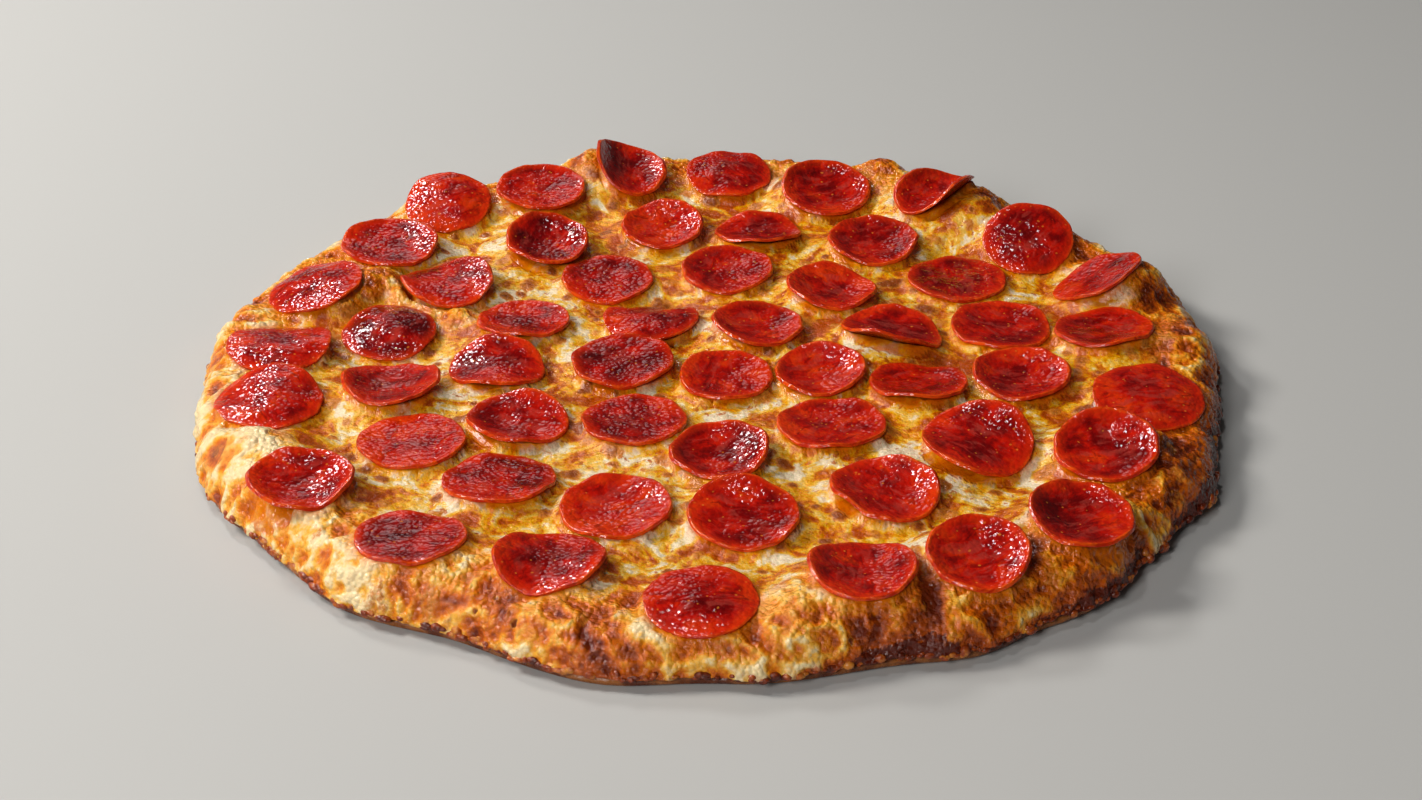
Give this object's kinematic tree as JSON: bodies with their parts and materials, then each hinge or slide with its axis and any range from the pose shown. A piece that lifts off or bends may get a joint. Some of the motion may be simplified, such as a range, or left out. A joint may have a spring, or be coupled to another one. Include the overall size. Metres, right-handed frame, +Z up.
{
  "type": "pepperoni pizza",
  "caption": "Whole round thin-crust pizza with melted cheese baked out to an uneven rim, covered in curled pepperoni slices, ready to serve.",
  "frame": {"origin": "middle of the footprint, on the flat underside", "axes": "+Z up, +X to the right and +Y away from the side the picture was taken from"},
  "size_m": [0.3606, 0.3606, 0.0322],
  "materials": {
    "baked_dough": "dry browned crust",
    "melted_cheese": "oily melted cheese",
    "pepperoni": "oily cured meat"
  },
  "bodies": {
    "root": {"dough_base": "baked_dough", "melted_cheese": "melted_cheese", "pepperoni_01": "pepperoni", "pepperoni_02": "pepperoni", "pepperoni_03": "pepperoni", "pepperoni_04": "pepperoni", "pepperoni_05": "pepperoni", "pepperoni_06": "pepperoni", "pepperoni_07": "pepperoni", "pepperoni_08": "pepperoni", "pepperoni_09": "pepperoni", "pepperoni_10": "pepperoni", "pepperoni_11": "pepperoni", "pepperoni_12": "pepperoni", "pepperoni_13": "pepperoni", "pepperoni_14": "pepperoni", "pepperoni_15": "pepperoni", "pepperoni_16": "pepperoni", "pepperoni_17": "pepperoni", "pepperoni_18": "pepperoni", "pepperoni_19": "pepperoni", "pepperoni_20": "pepperoni", "pepperoni_21": "pepperoni", "pepperoni_22": "pepperoni", "pepperoni_23": "pepperoni", "pepperoni_24": "pepperoni", "pepperoni_25": "pepperoni", "pepperoni_26": "pepperoni", "pepperoni_27": "pepperoni", "pepperoni_28": "pepperoni", "pepperoni_29": "pepperoni", "pepperoni_30": "pepperoni", "pepperoni_31": "pepperoni", "pepperoni_32": "pepperoni", "pepperoni_33": "pepperoni", "pepperoni_34": "pepperoni", "pepperoni_35": "pepperoni", "pepperoni_36": "pepperoni", "pepperoni_37": "pepperoni", "pepperoni_38": "pepperoni", "pepperoni_39": "pepperoni", "pepperoni_40": "pepperoni", "pepperoni_41": "pepperoni", "pepperoni_42": "pepperoni", "pepperoni_43": "pepperoni", "pepperoni_44": "pepperoni", "pepperoni_45": "pepperoni", "pepperoni_46": "pepperoni", "pepperoni_47": "pepperoni", "pepperoni_48": "pepperoni", "pepperoni_49": "pepperoni", "pepperoni_50": "pepperoni", "pepperoni_51": "pepperoni", "pepperoni_52": "pepperoni", "pepperoni_53": "pepperoni", "pepperoni_54": "pepperoni"}
  },
  "joints": []
}
